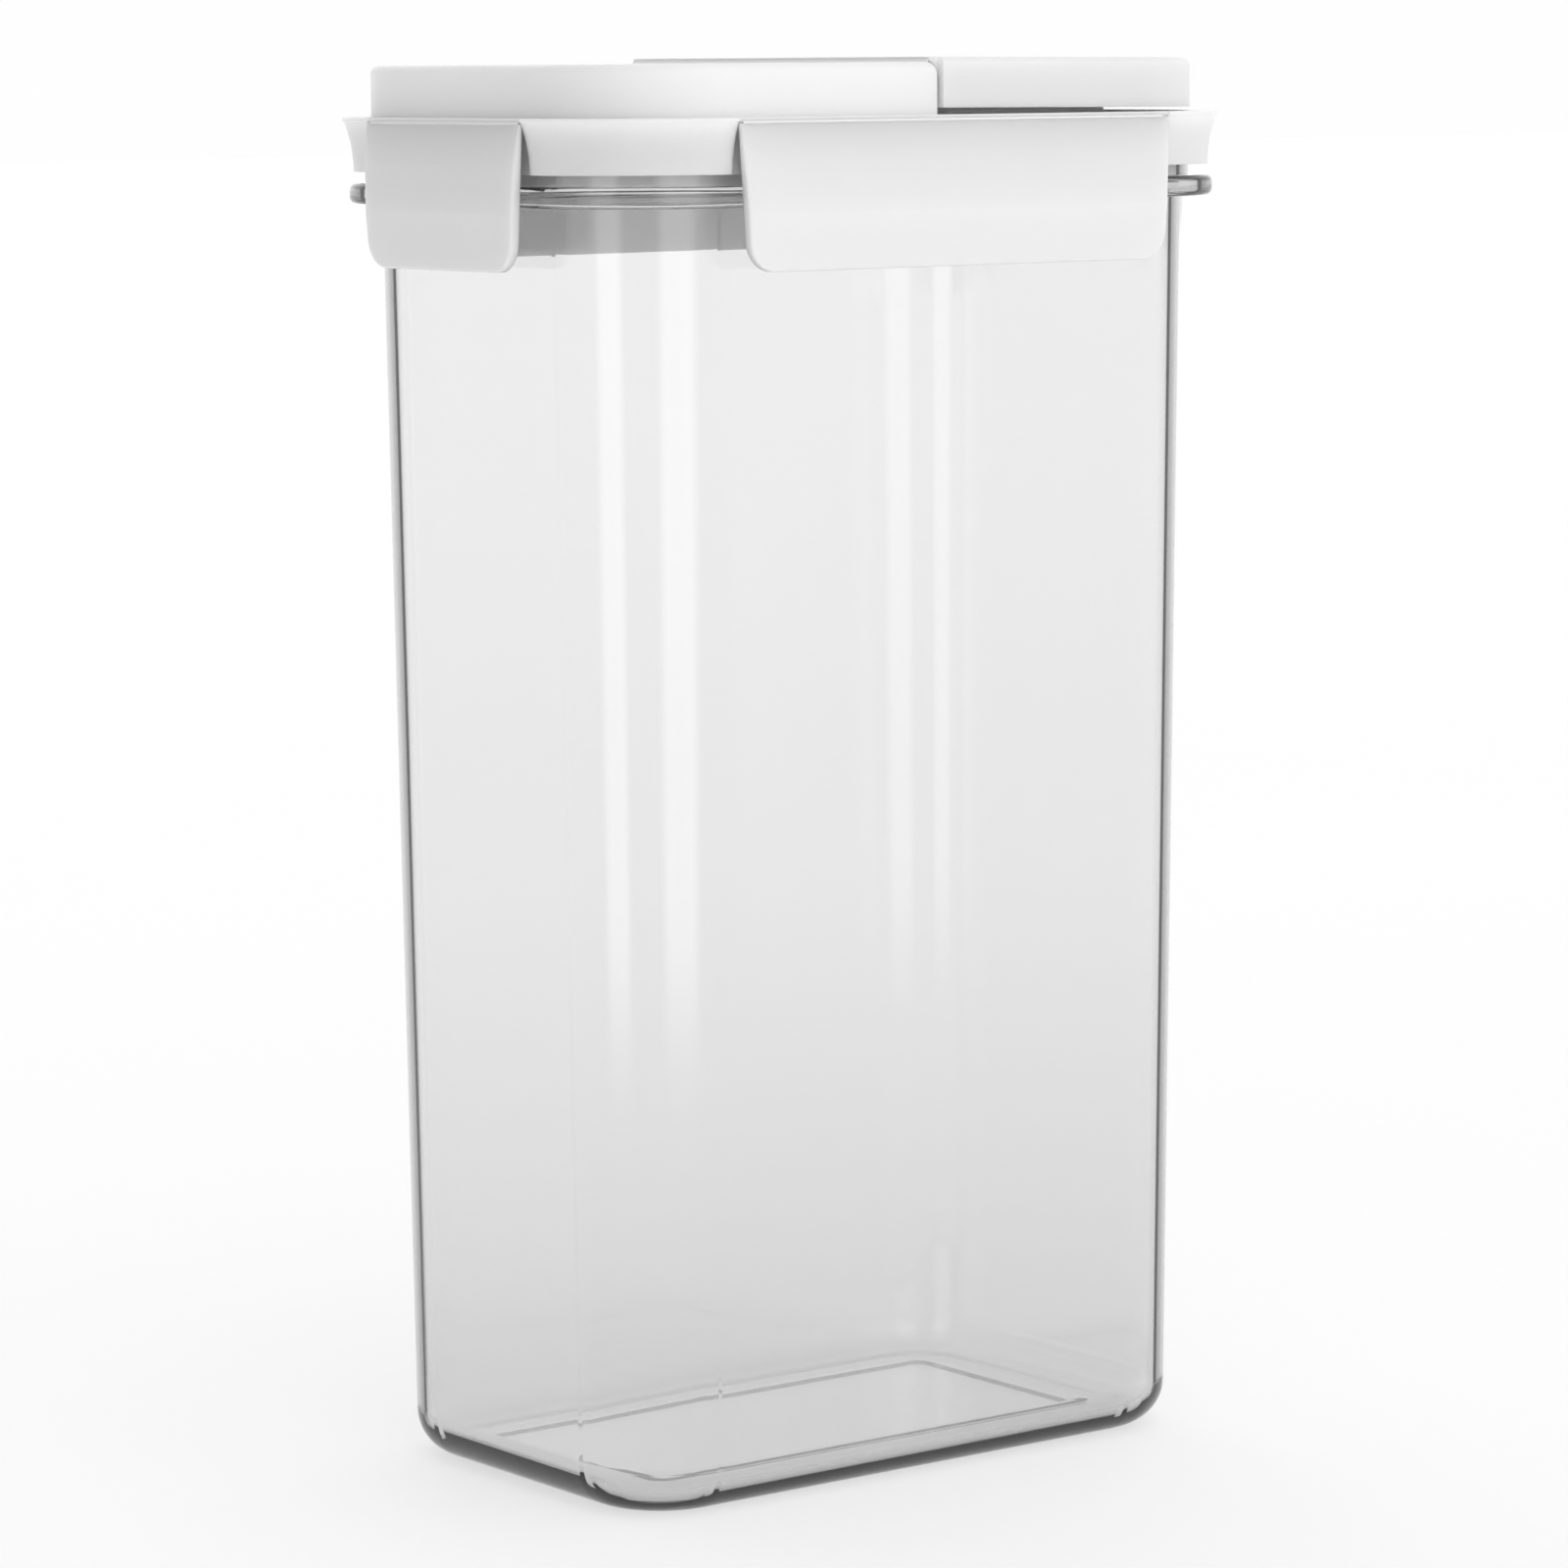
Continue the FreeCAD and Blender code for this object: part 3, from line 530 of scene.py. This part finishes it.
def hinge_web(name, profile, along, inwards):
    """A closed strip: the profile and its copy moved by inwards, extruded by the vector along."""
    bm = bmesh.new()
    outline = profile + [point + inwards for point in reversed(profile)]
    section = bm.faces.new([bm.verts.new(point - along / 2) for point in outline])
    swept = bmesh.ops.extrude_face_region(bm, geom=[section])["geom"]
    moved = [item for item in swept if isinstance(item, bmesh.types.BMVert)]
    bmesh.ops.translate(bm, verts=moved, vec=along)
    bmesh.ops.recalc_face_normals(bm, faces=bm.faces)
    web = object_from(bm, name)
    web.data.materials.append(web_finish)
    web.data.shade_smooth()
    web.data.set_sharp_from_angle(angle=WEB_SMOOTH)
    return web


print(web_finish.name, "for webs of", round(WEB / MM, 2), "mm")

# %% [markdown]
# The flap hinges lie under the edge of the brim. Their places come from the frame: the joint
# gives the hinge line, and the node's box gives the length of the flap. The profile is written
# as (outwards, up) steps from the hinge line, in millimetres.

# %% Flap webs
FLAP_WEB_STEPS = [(-0.32, 0.95), (-0.23, 0.76), (-0.12, 0.58), (0.03, 0.44), (0.16, 0.28)]
FLAP_WEB_MARGIN = 2.0 * MM
FLAPS = {"front": Vector((0.0, -1.0, 0.0)), "right": Vector((1.0, 0.0, 0.0)),
         "back": Vector((0.0, 1.0, 0.0)), "left": Vector((-1.0, 0.0, 0.0))}
UP = Vector((0.0, 0.0, 1.0))
joints = {joint["name"]: joint for joint in frame["joints"]}

for side, outwards in FLAPS.items():
    hinge = Vector(joints[f"{side}_flap_hinge"]["pos_m"])
    low, high = (Vector(corner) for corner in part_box(f"flap_{side}"))
    across = outwards.cross(UP)
    length = abs((high - low).dot(across)) - FLAP_WEB_MARGIN
    profile = [hinge + outwards * out * MM + UP * rise * MM for out, rise in FLAP_WEB_STEPS]
    web = hinge_web(f"hinge_web_{side}", profile, across * length, -outwards * WEB)
    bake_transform(web)
    print(web.name, "length", round(length / MM, 1), "mm")

# %% [markdown]
# The cap's web runs from the rounded shoulder of the raised half up to the bead on the cap's lip.
# Its steps are written as (towards the cap, up), again in millimetres.

# %% Cap web
CAP_WEB_STEPS = [(-1.35, -0.68), (-1.02, -0.56), (-0.70, -0.38), (-0.50, -0.08), (-0.40, 0.14)]
CAP_WEB_INWARDS = Vector((0.7, 0.0, -0.7)) * WEB
CAP_WEB_MARGIN = 4.0 * MM
FRONT_TO_BACK = Vector((0.0, 1.0, 0.0))

hinge = Vector(joints["cap_hinge"]["pos_m"])
low, high = (Vector(corner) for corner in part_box("pour_cap"))
length = high.y - low.y - CAP_WEB_MARGIN
profile = [hinge + Vector((step, 0.0, rise)) * MM for step, rise in CAP_WEB_STEPS]
web = hinge_web("hinge_web_cap", profile, FRONT_TO_BACK * length, CAP_WEB_INWARDS)
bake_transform(web)
print(web.name, "length", round(length / MM, 1), "mm")
